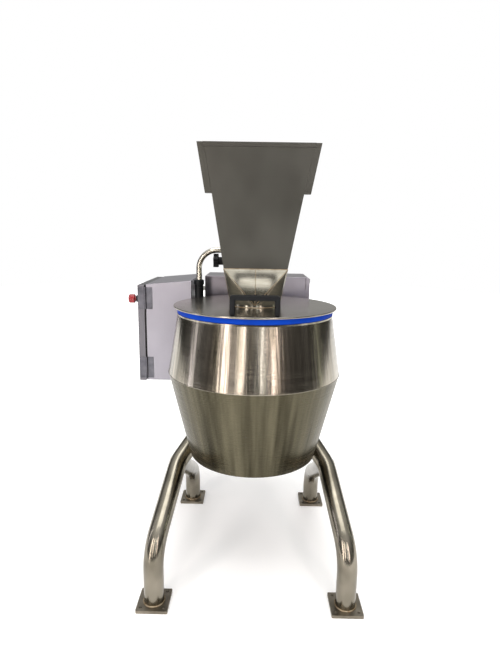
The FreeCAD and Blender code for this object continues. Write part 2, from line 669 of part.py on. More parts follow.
def door():
    front, back = "box_front - door_over", "box_back + door_over"
    low, top = "door_low_z", "door_top_z"
    out, inn = "door_out", "door_in"
    slab = box(out, inn, front, back, low, top)
    room = box(out + " + box_wall", inn + " - box_wall", front + " + box_wall", back + " - box_wall",
               low + " + box_wall", top + " - box_wall")
    mouth = box(inn + " - box_wall - 1", inn + " + 1", front + " + lip + 4", back + " - lip - 4",
                low + " + lip + 4", top + " - lip - 4")
    stem_hole = rod_x("stop_stem_r + 1", out + " - 1", out + " + box_wall + 1", "stop_y", "stop_z")
    latch_hole = rod_x("latch_stem_r + run_gap", out + " - 1", out + " + box_wall + 1", "latch_y", "latch_z")
    piece("control_box_door", cut(slab, room, mouth, stem_hole, latch_hole))
    soft_end = "box_left - seal_gap"
    soft = box(inn, soft_end, "box_front + 3", "box_back - 3", "box_low_z + 3", "door_top_z - 2")
    inside = box(inn + " - 1", soft_end + " + 1", "box_front + 3 + seal_wide", "box_back - 3 - seal_wide",
                 "box_low_z + 3 + seal_wide", "door_top_z - 2 - seal_wide")
    piece("door_seal", cut(soft, inside))
    latch()
    stop_button()


def latch():
    """A quarter-turn latch: head, stem and a short cam behind the door."""
    tip = "box_left + box_wall + 8"
    head = rod_x("latch_r", "door_out - latch_head", "door_out", "latch_y", "latch_z")
    stem = rod_x("latch_stem_r", "door_out", tip, "latch_y", "latch_z")
    cam = box(tip + " - 5", tip, "latch_y - latch_stem_r", "latch_y + cam_long", "latch_z - latch_stem_r",
              "latch_z + latch_stem_r")
    piece("door_latch", fuse(head, stem, cam))


def stop_button():
    collar = cut(rod_x("stop_collar_r", "stop_collar_x", "door_out", "stop_y", "stop_z"),
                 rod_x("stop_stem_r + run_gap", "stop_collar_x - 1", "door_out + 1", "stop_y", "stop_z"))
    piece("stop_collar", collar)
    head = add("PartDesign::Body")
    sketch = outline(head, "XZ_Plane", [("0", "0"), ("stop_stem_r", "0"), ("stop_stem_r", "stop_stem_long"),
                                        ("stop_r - 4", "stop_stem_long"), ("stop_r", "stop_stem_long + 10"),
                                        ("stop_r", "stop_stem_long + stop_head - 8"),
                                        ("stop_r - 5", "stop_stem_long + stop_head - 1"),
                                        ("0", "stop_stem_long + stop_head")])
    turning = head.newObject("PartDesign::Revolution", "Revolution")
    turning.Profile = sketch
    turning.ReferenceAxis = (sketch, ["V_Axis"])
    turning.Angle = 360
    facing_left = FreeCAD.Rotation(FreeCAD.Vector(0, 1, 0), -90)
    place(head, "stop_out + stop_head + stop_stem_long", "stop_y", "stop_z", facing_left)
    piece("stop_button", head)


def hinges():
    """Butt hinges over the gap between box and door; the pins sit in the box leaves."""
    boxed = []
    hung = []
    door_face = "box_front - door_over"
    for start in ("hinge_low_z", "hinge_high_z"):
        third = "leaf_tall / 3"
        top = start + " + leaf_tall"
        first = "%s + %s" % (start, third)
        second = "%s + 2 * %s" % (start, third)
        leaf = box("pivot_x + knuckle_r - 0.5", "leaf_right", "box_front - leaf_thick", "box_front", start, top)
        clear = rod("knuckle_r + knuckle_gap", first + " - knuckle_gap", second + " + knuckle_gap",
                    "pivot_x", "pivot_y")
        knuckles = fuse(rod("knuckle_r", start, first + " - knuckle_gap", "pivot_x", "pivot_y"),
                        rod("knuckle_r", second + " + knuckle_gap", top, "pivot_x", "pivot_y"))
        pin = rod("hinge_pin_r", start, top, "pivot_x", "pivot_y")
        boxed.append(fuse(cut(leaf, clear), knuckles, pin))
        flap = box("door_out + 1", "pivot_x - knuckle_r + 0.5", door_face + " - leaf_thick", door_face, start, top)
        away_low = rod("knuckle_r + knuckle_gap", start + " - 1", first, "pivot_x", "pivot_y")
        away_high = rod("knuckle_r + knuckle_gap", second, top + " + 1", "pivot_x", "pivot_y")
        middle = rod("knuckle_r", first, second, "pivot_x", "pivot_y")
        bore = rod("hinge_pin_r + run_gap", start, top, "pivot_x", "pivot_y")
        hung.append(cut(fuse(cut(flap, away_low, away_high), middle), bore))
    piece("hinge_leaves_box", group(*boxed))
    piece("hinge_leaves_door", group(*hung))


# --- lid and hopper ------------------------------------------------------------------------------

def square_to_round(half, radius, round_z, square_z):
    """A solid that goes from a round foot up to a square top with four flat and four conical faces."""
    corners = [FreeCAD.Vector(half * a, half * b, square_z) for a, b in ((1, 1), (-1, 1), (-1, -1), (1, -1))]
    feet = [FreeCAD.Vector(radius * a, radius * b, round_z) for a, b in ((1, 0), (0, 1), (-1, 0), (0, -1))]
    faces = []
    arcs = []
    for number in range(4):
        corner = corners[number]
        start, end = feet[number], feet[(number + 1) % 4]
        way = math.radians(45 + 90 * number)
        middle = FreeCAD.Vector(radius * math.cos(way), radius * math.sin(way), round_z)
        arc = Part.Arc(start, middle, end).toShape()
        arcs.append(arc)
        faces.extend(Part.makeLoft([Part.Vertex(corner), Part.Wire(arc)], False, True).Faces)
        faces.append(Part.Face(Part.makePolygon([end, corner, corners[(number + 1) % 4], end])))
    faces.append(Part.Face(Part.Wire(arcs)))
    faces.append(Part.Face(Part.makePolygon(corners + corners[:1])))
    shell = Part.Shell(faces)
    shell.sewShape()
    return Part.Solid(Part.Shell(shell.Faces))


def neck():
    """The transition from the round lid opening to the hopper's square foot."""
    sheet_thick = value("sheet")
    half, radius = value("seam_half"), value("neck_r")
    low, middle, high = value("lid_z"), value("neck_top_z"), value("seam_z")
    foot = Part.makeCylinder(radius, middle - low, FreeCAD.Vector(0, 0, low))
    outside = square_to_round(half, radius, middle, high).fuse(foot)
    hollow_foot = Part.makeCylinder(radius - sheet_thick, middle - low, FreeCAD.Vector(0, 0, low))
    inside = square_to_round(half - sheet_thick, radius - sheet_thick, middle, high).fuse(hollow_foot)
    piece("hopper_neck", made(outside.cut(inside)))


def hopper():
    outside = hopper_block("0")
    inside = hopper_block("sheet")
    reach = "(mouth_half + hem_thick)"
    hem = box("mouth_shift - " + reach, "mouth_shift + " + reach, "0 - " + reach, reach,
              "mouth_z - hem_tall", "mouth_z")
    piece("hopper_body", cut(fuse(outside, hem), inside))
    low, top = "wing_low_z", "mouth_z"
    under_hem = box("mouth_shift - " + reach, "mouth_shift + " + reach, "0 - " + reach, reach,
                    "mouth_z - hem_tall", "mouth_z + 1")
    wings = []
    for side in (-1, 1):
        outer = wedge(wing_foot(side, low, "0"), wing_foot(side, top, "0"), low, top)
        inner = wedge(wing_foot(side, low, "wing_sheet"), wing_foot(side, top, "wing_sheet"),
                      low + " + wing_sheet", top + " + 1")
        wings.append(cut(outer, inner, under_hem))
    piece("front_channels", group(*wings))


def hopper_block(inset):
    half = "seam_half - " + inset
    return frustum(half, "mouth_half - " + inset, "seam_z", "mouth_z", "mouth_shift")


def wing_foot(side, height, inset):
    """The footprint of a front channel at one height, on the left or on the right."""
    half = hopper_half(height)
    middle = "mouth_shift * ((%s) - seam_z) / (mouth_z - seam_z)" % height
    near = "%s + %d * (%s + %s)" % (middle, side, half, inset)
    far = "%s + %d * (%s + wing_wide - %s)" % (middle, side, half, inset)
    front = "0 - %s + %s" % (half, inset)
    back = "0 - %s + wing_deep" % half
    if inset != "0":
        back += " + 10"
    if side < 0:
        return (far, near, front, back)
    return (near, far, front, back)


def lid():
    disc = rod("lid_r", "lid_z", "lid_z + lid_thick")
    piece("lid_plate", cut(disc, rod("neck_r", "lid_z - 1", "lid_z + lid_thick + 1")))
    foot = "lid_z + lid_thick"
    points = [("0 - handle_half", "handle_y", foot), ("0 - handle_half", "handle_y", "handle_top_z"),
              ("handle_half", "handle_y", "handle_top_z"), ("handle_half", "handle_y", foot)]
    piece("lid_handle", made(bent_bar(points, ["handle_bend_r", "handle_bend_r"], "handle_r")))


# --- swing arm -----------------------------------------------------------------------------------

def arm():
    rise = ("post_x", "post_y", "arm_low_z")
    bend = ("post_x", "post_y", "arm_z")
    end = ("arm_end_x", "post_y", "arm_z")
    outside = bent_bar([rise, bend, end], ["arm_bend_r"], "arm_r")
    bore = bent_bar([rise, bend, end], ["arm_bend_r"], "arm_r - arm_wall")
    piece("arm_tube", made(outside.cut(bore)))
    hole = "arm_r + run_gap"
    piece("arm_bushing", turned([(hole, "bush_low_z"), ("bush_r", "bush_low_z"), ("bush_r", "bush_top_z"),
                                 (hole, "bush_top_z")], "post_x", "post_y"))
    low = "bush_top_z + knuckle_gap"
    top = low + " + head_tall"
    piece("swivel_head", turned([(hole, low), ("head_r", low), ("head_r", top + " - 16"),
                                 ("head_r - 3", top + " - 7"), ("head_r - 8", top), (hole, top)],
                                "post_x", "post_y"))
    ears = []
    for start in ("ear_low_z", "ear_high_z"):
        bore = rod("bush_r", "bush_low_z", "bush_top_z", "post_x", "post_y")
        ears.append(cut(ear_block(start), fuse(lower_cone(), upper_cone()), bore))
    piece("post_ears", group(*ears))


def ear_block(start):
    """A round-ended tab from the drum's axis out to the arm's post."""
    reach = value("sqrt(post_x ^ 2 + post_y ^ 2)")
    half, thick = value("head_r"), value("ear_thick")
    tab = Part.makeBox(reach, 2 * half, thick, FreeCAD.Vector(0, -half, 0))
    tab = tab.fuse(Part.makeCylinder(half, thick, FreeCAD.Vector(reach, 0, 0)))
    heading = math.degrees(math.atan2(value("post_y"), value("post_x")))
    thing = add("Part::Feature")
    thing.Shape = tab
    return place(thing, "0", "0", start, FreeCAD.Rotation(FreeCAD.Vector(0, 0, 1), heading))


def clamp():
    """The split block on the arm, the stub that welds it to the hopper and its knob."""
    front, back = "post_y - clamp_deep / 2", "post_y + clamp_deep / 2"
    block = box("clamp_left_x", "clamp_right_x", front, back, "clamp_low_z", "clamp_top_z")
    tube_hole = rod_x("arm_r", "clamp_left_x - 1", "clamp_right_x + 1", "post_y", "arm_z")
    slit = box("clamp_left_x - 1", "clamp_right_x + 1", "post_y - clamp_slit / 2", "post_y + clamp_slit / 2",
               "arm_z", "clamp_top_z + 1")
    thread = rod_x("knob_screw_r + run_gap", "clamp_left_x - 1", "clamp_left_x + knob_screw_in + 1",
                   "post_y", "knob_z")
    half = "stub_side / 2"
    stub = box("stub_x - " + half, "stub_x + " + half, "0", front, "stub_z - " + half, "stub_z + " + half)
    bore = box("stub_x - %s + sheet" % half, "stub_x + %s - sheet" % half, "0", front,
               "stub_z - %s + sheet" % half, "stub_z + %s - sheet" % half)
    whole = fuse(cut(block, tube_hole, slit, thread), cut(stub, bore, hopper_block("0")))
    piece("arm_clamp", whole)
    knob()


def knob():
    face = "clamp_left_x - knob_neck"
    back_x = "%s - knob_hub_long" % face
    front_x = "%s - knob_thick" % back_x
    solids = [rod_x("knob_r", front_x, back_x, "post_y", "knob_z"),
              rod_x("knob_hub_r", back_x, face, "post_y", "knob_z"),
              rod_x("knob_screw_r", face, "clamp_left_x + knob_screw_in", "post_y", "knob_z")]
    for number in range(int(value("knob_lobes"))):
        angle = 90 + 360 * number / value("knob_lobes")
        solids.append(rod_x("knob_lobe_r", front_x, back_x,
                            "post_y + knob_r * cos(%s deg)" % angle, "knob_z + knob_r * sin(%s deg)" % angle))
    piece("clamp_knob", fuse(*solids))


# --- build ---------------------------------------------------------------------------------------

def check():
    """Stops if anything failed to recompute or any piece is not a sound solid."""
    for thing in doc.Objects:
        if "Invalid" in thing.State or "Error" in thing.State:
            raise RuntimeError("%s (%s): %s" % (thing.Name, thing.Label, thing.State))
    for name, solid in pieces.items():
        if solid.Shape.isNull() or not solid.Shape.isValid() or not solid.Shape.Solids:
            raise RuntimeError(name + " is not a sound solid")


legs()
drum()
spider()
bearings()
rotor()
hammers()
screen()
cover()
drive()
housing()
control_box()
door()
hinges()
neck()
hopper()
lid()
arm()
clamp()
doc.recompute()
check()
for name, solid in pieces.items():
    solid.Shape.exportStep("parts/%s.step" % name)
    print(name, len(solid.Shape.Solids), round(solid.Shape.Volume))
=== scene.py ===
import json
import math

import bpy
from mathutils import Matrix, Vector

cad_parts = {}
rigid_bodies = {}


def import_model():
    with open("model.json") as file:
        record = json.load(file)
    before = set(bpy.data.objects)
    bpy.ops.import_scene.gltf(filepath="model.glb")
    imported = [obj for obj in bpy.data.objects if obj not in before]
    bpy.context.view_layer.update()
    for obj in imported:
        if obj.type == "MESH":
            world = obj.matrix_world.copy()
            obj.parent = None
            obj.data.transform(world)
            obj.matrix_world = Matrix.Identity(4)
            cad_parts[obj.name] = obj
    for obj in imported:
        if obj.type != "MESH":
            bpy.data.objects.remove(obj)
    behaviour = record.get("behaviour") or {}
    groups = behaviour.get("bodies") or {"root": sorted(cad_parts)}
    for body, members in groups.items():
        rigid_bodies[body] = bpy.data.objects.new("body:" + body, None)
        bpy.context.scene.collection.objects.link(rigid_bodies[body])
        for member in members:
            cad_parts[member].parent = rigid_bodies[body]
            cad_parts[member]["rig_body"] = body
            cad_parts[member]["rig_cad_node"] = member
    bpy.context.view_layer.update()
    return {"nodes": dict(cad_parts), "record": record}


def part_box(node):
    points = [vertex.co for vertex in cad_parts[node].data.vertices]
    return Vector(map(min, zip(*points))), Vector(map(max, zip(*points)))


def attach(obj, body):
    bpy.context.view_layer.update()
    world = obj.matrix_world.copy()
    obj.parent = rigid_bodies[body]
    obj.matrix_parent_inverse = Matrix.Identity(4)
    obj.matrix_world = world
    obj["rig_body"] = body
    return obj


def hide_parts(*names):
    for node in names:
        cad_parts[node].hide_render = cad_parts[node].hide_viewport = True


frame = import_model()
nodes = frame["nodes"]
print("frame loaded:", len(nodes), "nodes")


# small tools used all through

def linearColour(hexText):
    # sRGB hex to the linear colour that the nodes work in
    parts = [int(hexText[i:i + 2], 16) / 255 for i in (1, 3, 5)]
    bent = [p / 12.92 if p <= 0.04045 else ((p + 0.055) / 1.055) ** 2.4 for p in parts]
    return (*bent, 1.0)


def addNode(tree, kind, settings=None, inputs=None):
    # one node, its settings, and its inputs: a value, or another node's output to link
    node = tree.nodes.new(kind)
    for name, setting in (settings or {}).items():
        setattr(node, name, setting)
    for name, given in (inputs or {}).items():
        if isinstance(given, bpy.types.NodeSocket):
            tree.links.new(given, node.inputs[name])
        else:
            node.inputs[name].default_value = given
    return node


def newMaterial(name):
    material = bpy.data.materials.new(name)
    material.use_nodes = True
    tree = material.node_tree
    tree.nodes.clear()
    return material, tree


def closeMaterial(tree, shader):
    addNode(tree, "ShaderNodeOutputMaterial", None, {"Surface": shader.outputs[0]})


def stretchedNoise(tree, pitch, detail=3.0):
    # noise whose grain is pitch millimetres long along X, Y and Z
    place = addNode(tree, "ShaderNodeTexCoord")
    scale = [1000 / p for p in pitch]
    mapped = addNode(tree, "ShaderNodeMapping", None,
                     {"Vector": place.outputs["Object"], "Scale": scale})
    return addNode(tree, "ShaderNodeTexNoise", None,
                   {"Vector": mapped.outputs[0], "Scale": 1.0, "Detail": detail, "Roughness": 0.55})


drumAxis = Vector((0.0885, -0.132, 0))


def streaksRound(tree, degrees, tall=900):
    # noise in upright streaks, so many degrees wide, round the drum's axis; they meet at its back
    place = addNode(tree, "ShaderNodeTexCoord")
    fromAxis = addNode(tree, "ShaderNodeMapping", None,
                       {"Vector": place.outputs["Object"], "Location": (-drumAxis.x, -drumAxis.y, 0)})
    parts = addNode(tree, "ShaderNodeSeparateXYZ", None, {"Vector": fromAxis.outputs[0]})
    ahead = addNode(tree, "ShaderNodeMath", {"operation": "MULTIPLY"}, {0: parts.outputs["Y"], 1: -1.0})
    turn = addNode(tree, "ShaderNodeMath", {"operation": "ARCTAN2"},
                   {0: parts.outputs["X"], 1: ahead.outputs[0]})
    across = addNode(tree, "ShaderNodeMath", {"operation": "MULTIPLY"},
                     {0: turn.outputs[0], 1: 1 / math.radians(degrees)})
    up = addNode(tree, "ShaderNodeMath", {"operation": "MULTIPLY"}, {0: parts.outputs["Z"], 1: 1000 / tall})
    spot = addNode(tree, "ShaderNodeCombineXYZ", None, {"X": across.outputs[0], "Y": up.outputs[0]})
    return addNode(tree, "ShaderNodeTexNoise", None,
                   {"Vector": spot.outputs[0], "Scale": 1.0, "Detail": 3.0, "Roughness": 0.6})


def spread(tree, source, low, high):
    # a noise's middle range stretched to low and high
    return addNode(tree, "ShaderNodeMapRange", None,
                   {"Value": source, "From Min": 0.3, "From Max": 0.7, "To Min": low, "To Max": high})


def blended(tree, factor, first, second):
    mix = addNode(tree, "ShaderNodeMix", {"data_type": "RGBA"})
    tree.links.new(factor, mix.inputs[0])
    mix.inputs[6].default_value = linearColour(first)
    mix.inputs[7].default_value = linearColour(second)
    return mix.outputs[2]


# metals first, then the moulded and enamelled finishes

def stainless(name, look):
    # austenitic stainless: the brush lines spread a reflection across the grain, and the grime and handling
    # give slow patches in its tone;
    # on the drum and the cone the tone runs in upright streaks instead, which are painted reflection: dark
    # and light bands for the surroundings the shell mirrors
    material, tree = newMaterial(name)
    grain = stretchedNoise(tree, look["grain"])
    paintsReflectionStreaks = "paintedReflectionStreakDegrees" in look
    # drum and cone: upright streaks of painted reflection in the colour; the other finishes: slow handling
    # patches
    patches = streaksRound(tree, look["paintedReflectionStreakDegrees"]) if paintsReflectionStreaks else stretchedNoise(tree, look["patches"], 2.0)
    colour = blended(tree, spread(tree, patches.outputs["Fac"], 0, 1).outputs[0], look["dark"], look["light"])
    low, high = look["roughness"]
    rough = spread(tree, grain.outputs["Fac"], low, high)
    bump = addNode(tree, "ShaderNodeBump", None,
                   {"Strength": look["bump"], "Distance": 0.0004, "Height": grain.outputs["Fac"]})
    surface = bump
    if "waves" in look:  # a rolled sheet is never quite round, so upright reflections waver
        rolling = streaksRound(tree, look["waves"])
        surface = addNode(tree, "ShaderNodeBump", None,
                          {"Strength": look["waveStrength"], "Distance": 0.004,
                           "Height": rolling.outputs["Fac"], "Normal": bump.outputs[0]})
    shader = addNode(tree, "ShaderNodeBsdfPrincipled", None,
                     {"Base Color": colour, "Metallic": 1.0, "Roughness": rough.outputs[0],
                      "Anisotropic": look.get("anisotropic", 0), "Normal": surface.outputs[0]})
    if "anisotropic" in look:  # brushed round its axis, so highlights stretch up and down
        around = addNode(tree, "ShaderNodeTangent", {"direction_type": "RADIAL", "axis": "Z"})
        tree.links.new(around.outputs[0], shader.inputs["Tangent"])
    closeMaterial(tree, shader)
    return material


def mouldedPlastic(name, look):
    # injection moulded: an even colour with a fine spark-eroded texture that softens the gloss
    material, tree = newMaterial(name)
    texture = stretchedNoise(tree, [look["texture"]] * 3)
    wear = stretchedNoise(tree, [60, 60, 60], 2.0)
    colour = blended(tree, spread(tree, wear.outputs["Fac"], 0, 1).outputs[0], look["dark"], look["light"])
    low, high = look["roughness"]
    rough = spread(tree, texture.outputs["Fac"], low, high)
    bump = addNode(tree, "ShaderNodeBump", None,
                   {"Strength": look["bump"], "Distance": 0.0003, "Height": texture.outputs["Fac"]})
    shader = addNode(tree, "ShaderNodeBsdfPrincipled", None,
                     {"Base Color": colour, "Roughness": rough.outputs[0], "IOR": look["ior"],
                      "Specular IOR Level": look.get("specular", 0.5), "Normal": bump.outputs[0]})
    closeMaterial(tree, shader)
    return material


# the real brush lines are 0.2 mm apart: they are drawn 2 to 4 mm apart so that they show
metalLooks = {
    # the drum's and the cone's dark and light colours, spread in upright streaks, are painted reflection
    # bands
    "brushedStainlessDrum": {"dark": "#4a4737", "light": "#b5ada0", "grain": [320, 320, 3], "paintedReflectionStreakDegrees": 10,
                             "roughness": (0.14, 0.22), "bump": 0.05, "anisotropic": 0.6,
                             "waves": 9, "waveStrength": 0.5},
    # the cone is a darker copy of the drum's steel: painted shade for the lower shell, which faces the floor
    "brushedStainlessConePaintedShade": {"dark": "#2b281e", "light": "#6b6654", "grain": [320, 320, 3], "paintedReflectionStreakDegrees": 12,
                             "roughness": (0.22, 0.32), "bump": 0.05, "anisotropic": 0.8,
                             "waves": 10, "waveStrength": 0.5},
    "satinStainlessTube": {"dark": "#6d685c", "light": "#918b7e", "grain": [40, 40, 90],
                           "patches": [90, 90, 140],
                           "roughness": (0.18, 0.25), "bump": 0.015},
    "satinStainlessFoot": {"dark": "#6f695d", "light": "#8c8578", "grain": [60, 8, 20],
                           "patches": [50, 50, 50],
                           "roughness": (0.32, 0.42), "bump": 0.05},
    "polishedStainlessLid": {"dark": "#8b867d", "light": "#9a958c", "grain": [260, 4, 60],
                             "patches": [220, 220, 60],
                             "roughness": (0.20, 0.27), "bump": 0.02},
    # the hopper's steel is darkened far below the rest: painted reflection of the dark surroundings it
    # mirrors
    "brushedStainlessHopper": {"dark": "#44433e", "light": "#4f4e49", "grain": [260, 260, 3],
                               "patches": [180, 180, 260],
                               "roughness": (0.34, 0.44), "bump": 0.08},
    "polishedStainlessNeck": {"dark": "#8d8a7e", "light": "#b3afa2", "grain": [90, 90, 3],
                              "patches": [90, 90, 60],
                              "roughness": (0.14, 0.22), "bump": 0.03},
    "polishedStainlessArm": {"dark": "#aaa597", "light": "#cbc6b9", "grain": [4, 4, 80],
                             "patches": [60, 60, 60],
                             "roughness": (0.14, 0.20), "bump": 0.01},
    "brushedStainlessBox": {"dark": "#918f96", "light": "#99979e", "grain": [4, 4, 220],
                            "patches": [160, 160, 200],
                            "roughness": (0.32, 0.42), "bump": 0.04},
    # the door is a darker copy of the box's steel: painted shade for the door's edge, which stands in shadow
    "brushedStainlessDoorPaintedShade": {"dark": "#666569", "light": "#6d6c71", "grain": [4, 4, 220],
                             "patches": [120, 120, 200],
                             "roughness": (0.30, 0.40), "bump": 0.04},
    "brushedStainlessHousing": {"dark": "#8d8990", "light": "#969299", "grain": [3, 3, 240],
                                "patches": [160, 160, 160],
                                "roughness": (0.28, 0.36), "bump": 0.05},
    "millFinishStainless": {"dark": "#96928a", "light": "#b0aca3", "grain": [120, 4, 120],
                            "patches": [100, 100, 100],
                            "roughness": (0.28, 0.38), "bump": 0.08},
    "satinStainlessHinge": {"dark": "#4d4d52", "light": "#68686e", "grain": [4, 4, 60],
                            "patches": [40, 40, 40],
                            "roughness": (0.30, 0.40), "bump": 0.08},
    "turnedSteel": {"dark": "#a9a9aa", "light": "#c4c4c4", "grain": [60, 60, 2], "patches": [50, 50, 50],
                    "roughness": (0.16, 0.26), "bump": 0.08},
    "hardenedSteel": {"dark": "#62605d", "light": "#85827d", "grain": [14, 14, 14], "patches": [30, 30, 30],
                      "roughness": (0.30, 0.45), "bump": 0.12},
    "slottedSheetSteel": {"dark": "#8f8f8d", "light": "#adadaa", "grain": [80, 80, 3],
                          "patches": [80, 80, 80],
                          "roughness": (0.26, 0.36), "bump": 0.06},
    "weldedStainless": {"dark": "#8a7559", "light": "#b8ab93", "grain": [6, 6, 6], "patches": [14, 14, 14],
                        "roughness": (0.46, 0.58), "bump": 0.10},
    "galvanisedPlate": {"dark": "#a3a5a2", "light": "#c1c3bf", "grain": [12, 12, 12], "patches": [22, 22, 22],
                        "roughness": (0.34, 0.50), "bump": 0.06},
}
plasticLooks = {
    "siliconeRubberBlue": {"dark": "#00349a", "light": "#023caa", "texture": 6, "roughness": (0.60, 0.70),
                           "bump": 0.05, "ior": 1.41, "specular": 0.12},
    "mouldedNylonBlack": {"dark": "#07080a", "light": "#0f1113", "texture": 2.5, "roughness": (0.40, 0.50),
                          "bump": 0.12, "ior": 1.53, "specular": 0.18},
    "mouldedAbsRed": {"dark": "#7c0f15", "light": "#92171d", "texture": 4, "roughness": (0.26, 0.34),
                      "bump": 0.05, "ior": 1.52},
    "foamRubberBlack": {"dark": "#161616", "light": "#242424", "texture": 2, "roughness": (0.75, 0.9),
                        "bump": 0.4, "ior": 1.45},
    "beltRubberBlack": {"dark": "#1a1a1a", "light": "#272727", "texture": 3, "roughness": (0.55, 0.7),
                        "bump": 0.2, "ior": 1.5},
    "mouldedPolycarbonateGrey": {"dark": "#8c9092", "light": "#a4a8aa", "texture": 3,
                                 "roughness": (0.38, 0.48),
                                 "bump": 0.08, "ior": 1.58},
    "enamelledCastIron": {"dark": "#4d5155", "light": "#5f6468", "texture": 5, "roughness": (0.40, 0.52),
                          "bump": 0.35, "ior": 1.5},
    "enamelledMotor": {"dark": "#3f4a57", "light": "#4d5967", "texture": 5, "roughness": (0.34, 0.44),
                       "bump": 0.2, "ior": 1.5},
}
finishes = {name: stainless(name, look) for name, look in metalLooks.items()}
finishes.update({name: mouldedPlastic(name, look) for name, look in plasticLooks.items()})
slotFinish = {
    "leg_steel": "satinStainlessTube", "foot_steel": "satinStainlessFoot",
    "drum_steel": "brushedStainlessDrum", "gasket_blue": "siliconeRubberBlue",
    "frame_steel": "millFinishStainless", "machined_steel": "turnedSteel",
    "hammer_steel": "hardenedSteel", "screen_steel": "slottedSheetSteel",
    "cast_grey": "enamelledCastIron", "motor_paint": "enamelledMotor",
    "belt_black": "beltRubberBlack", "housing_steel": "brushedStainlessHousing",
    "box_steel": "brushedStainlessBox", "hinge_steel": "satinStainlessHinge",
    "seal_black": "foamRubberBlack", "panel_zinc": "galvanisedPlate",
    "device_grey": "mouldedPolycarbonateGrey", "black_plastic": "mouldedNylonBlack",
    "stop_red": "mouldedAbsRed", "lid_steel": "polishedStainlessLid",
    "neck_steel": "polishedStainlessNeck", "hopper_steel": "brushedStainlessHopper",
    "arm_steel": "polishedStainlessArm",
}
nodeSlot = {part["node"]: part["material_slot"] for part in frame["record"]["subparts"]}
bodies = frame["record"]["behaviour"]["bodies"]
nodeBody = {node: body for body, members in bodies.items() for node in members}


def coat(piece, finish):
    piece.data.materials.clear()
    piece.data.materials.append(finishes[finish])


for nodeName, node in nodes.items():
    coat(node, slotFinish[nodeSlot[nodeName]])
# darker copies of the drum and box steel: painted shade on the lower cone and on the door
paintedShadeFinish = {"drum_lower_shell": "brushedStainlessConePaintedShade", "control_box_door": "brushedStainlessDoorPaintedShade"}
for nodeName, finish in paintedShadeFinish.items():
    coat(nodes[nodeName], finish)
print("materials done:", len(finishes))


# camera, floor and studio light

view = {"place": (0.0887, -2.1091, 1.3831), "pitch": 78.61, "yaw": 0.55, "roll": 0.94,
        "lens": 25.87, "sensor": 36}
bpy.ops.object.camera_add(location=view["place"])
camera = bpy.context.object
camera.name = "studioCamera"
camera.data.lens = view["lens"]
camera.data.sensor_width = view["sensor"]
aim = Matrix.Rotation(math.radians(view["yaw"]), 4, "Z")
aim = aim @ Matrix.Rotation(math.radians(view["pitch"]), 4, "X")
camera.rotation_euler = (aim @ Matrix.Rotation(math.radians(view["roll"]), 4, "Z")).to_euler()
bpy.context.scene.camera = camera

studio = {"floorRadius": 9.0, "floorBack": 4.1, "floorColour": "#f1f0ee", "floorGlow": 0.26,
          "glowStart": 1.1, "glowFull": 3.2, "backdrop": 1.0, "strength": 1.15,
          "surround": {0.0: "#2d2b28", 0.28: "#504f4d", 0.6: "#858686", 1.0: "#ffffff"}}
bpy.ops.mesh.primitive_circle_add(vertices=96, radius=studio["floorRadius"], fill_type="NGON",
                                  location=(0, studio["floorBack"], 0))
floor = bpy.context.object
floor.name = "studioFloor"
floorMaterial, floorTree = newMaterial("paintedFloor")
floorGrain = stretchedNoise(floorTree, [900, 900, 900])
floorRough = spread(floorTree, floorGrain.outputs["Fac"], 0.6, 0.75)
# the sweep burns out to white away from the machine, so that no horizon shows
floorPlace = addNode(floorTree, "ShaderNodeTexCoord")
fromMachine = addNode(floorTree, "ShaderNodeVectorMath", {"operation": "LENGTH"},
                      {0: addNode(floorTree, "ShaderNodeMapping", None,
                                  {"Vector": floorPlace.outputs["Object"],
                                   "Location": (0, studio["floorBack"], 0)}).outputs[0]})
floorGlow = addNode(floorTree, "ShaderNodeMapRange", None,
                    {"Value": fromMachine.outputs["Value"],
                     "From Min": studio["glowStart"], "From Max": studio["glowFull"],
                     "To Min": studio["floorGlow"], "To Max": 1.0})
closeMaterial(floorTree, addNode(floorTree, "ShaderNodeBsdfPrincipled", None,
                                 {"Base Color": linearColour(studio["floorColour"]),
                                  "Roughness": floorRough.outputs[0],
                                  "Emission Color": (1, 1, 1, 1), "Emission Strength": floorGlow.outputs[0]}))
floor.data.materials.append(floorMaterial)

world = bpy.data.worlds.new("studioAir")
bpy.context.scene.world = world
world.use_nodes = True
air = world.node_tree
air.nodes.clear()
heading = addNode(air, "ShaderNodeTexCoord")
height = addNode(air, "ShaderNodeSeparateXYZ", None, {"Vector": heading.outputs["Generated"]})
lift = addNode(air, "ShaderNodeMapRange", None,
               {"Value": height.outputs["Z"], "From Min": -0.3, "From Max": 0.9})
surround = addNode(air, "ShaderNodeValToRGB", None, {"Fac": lift.outputs[0]})
stops = surround.color_ramp.elements
stops[0].color = linearColour(studio["surround"][0.0])
stops[1].color = linearColour(studio["surround"][1.0])
for position in (0.28, 0.6):
    stops.new(position).color = linearColour(studio["surround"][position])
room = addNode(air, "ShaderNodeBackground", None,
               {"Color": surround.outputs[0], "Strength": studio["strength"]})
backdrop = addNode(air, "ShaderNodeBackground", None,
                   {"Color": (1, 1, 1, 1), "Strength": studio["backdrop"]})
seen = addNode(air, "ShaderNodeLightPath")
sky = addNode(air, "ShaderNodeMixShader", None,
              {0: seen.outputs["Is Camera Ray"], 1: room.outputs[0], 2: backdrop.outputs[0]})
addNode(air, "ShaderNodeOutputWorld", None, {"Surface": sky.outputs[0]})

